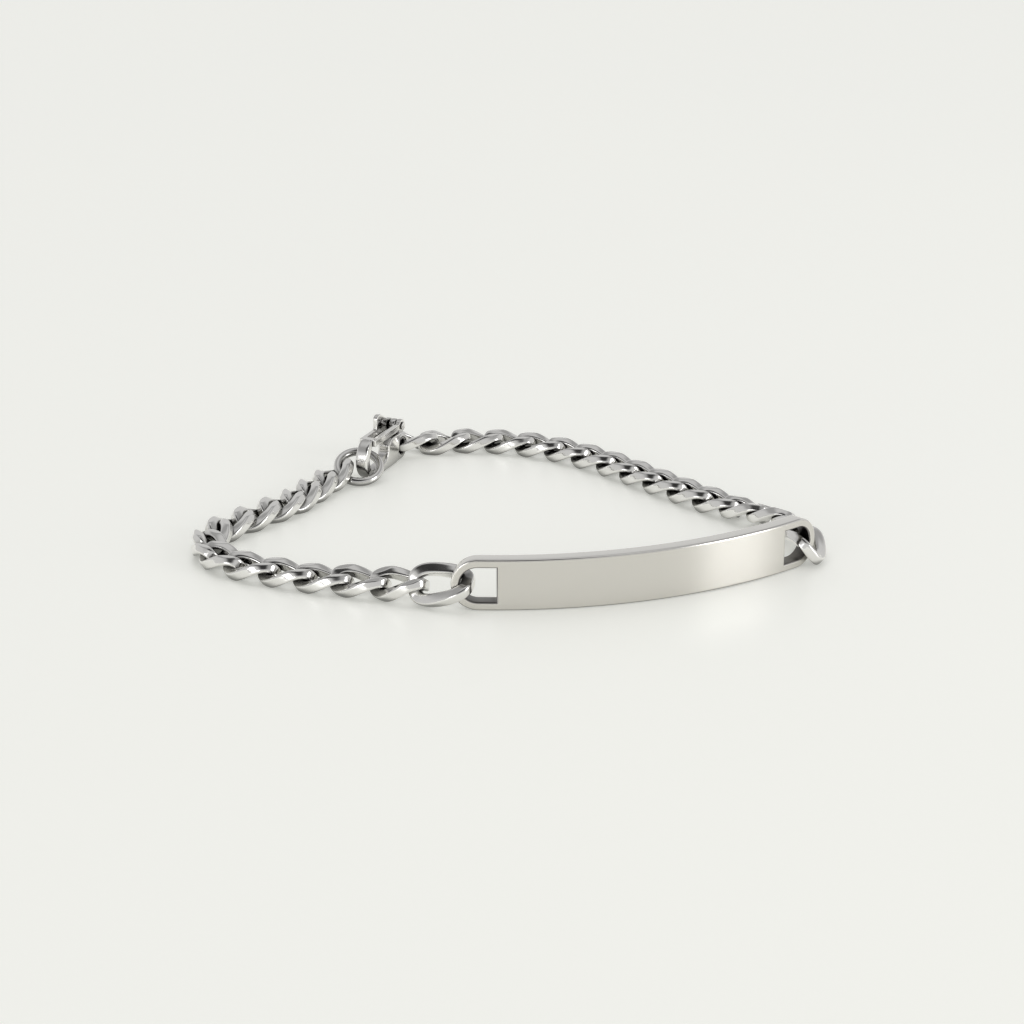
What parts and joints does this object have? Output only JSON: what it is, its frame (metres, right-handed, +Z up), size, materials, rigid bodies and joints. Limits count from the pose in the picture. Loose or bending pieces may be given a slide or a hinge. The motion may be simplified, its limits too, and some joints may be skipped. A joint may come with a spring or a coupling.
{
  "type": "id bracelet",
  "caption": "Steel identity bracelet with a curved blank plate, curb chain, jump ring and trigger clasp, closed and lying on a table.",
  "frame": {"origin": "on the table, in the middle of the bracelet's bounding box", "axes": "+X along the plate, +Y from the plate towards the clasp, +Z up from the table"},
  "size_m": [0.0744, 0.0586, 0.0071],
  "materials": {
    "plate_steel": "satin face with polished bevels",
    "chain_steel": "polished, ground flat on both faces",
    "clasp_steel": "polished"
  },
  "bodies": {
    "bracelet": {"id_plate": "plate_steel", "slot_link_left": "chain_steel", "link_left_01": "chain_steel", "link_left_02": "chain_steel", "link_left_03": "chain_steel", "link_left_04": "chain_steel", "link_left_05": "chain_steel", "link_left_06": "chain_steel", "link_left_07": "chain_steel", "link_left_08": "chain_steel", "link_left_09": "chain_steel", "link_left_10": "chain_steel", "link_left_11": "chain_steel", "link_left_12": "chain_steel", "link_left_13": "chain_steel", "link_left_14": "chain_steel", "slot_link_right": "chain_steel", "link_right_01": "chain_steel", "link_right_02": "chain_steel", "link_right_03": "chain_steel", "link_right_04": "chain_steel", "link_right_05": "chain_steel", "link_right_06": "chain_steel", "link_right_07": "chain_steel", "link_right_08": "chain_steel", "link_right_09": "chain_steel", "link_right_10": "chain_steel", "link_right_11": "chain_steel", "link_right_12": "chain_steel", "link_right_13": "chain_steel", "link_right_14": "chain_steel", "link_right_15": "chain_steel", "jump_ring": "clasp_steel", "clasp_body": "clasp_steel"},
    "lever": {"clasp_lever": "clasp_steel"}
  },
  "joints": [
    {"name": "lever_hinge", "type": "hinge", "parent": "bracelet", "child": "lever", "pos_m": [-0.01496, 0.02314, 0.00485], "axis": [0.9272, -0.3746, 0], "range_deg": [0, 8], "stiffness_Nm_per_rad": 0.02}
  ]
}
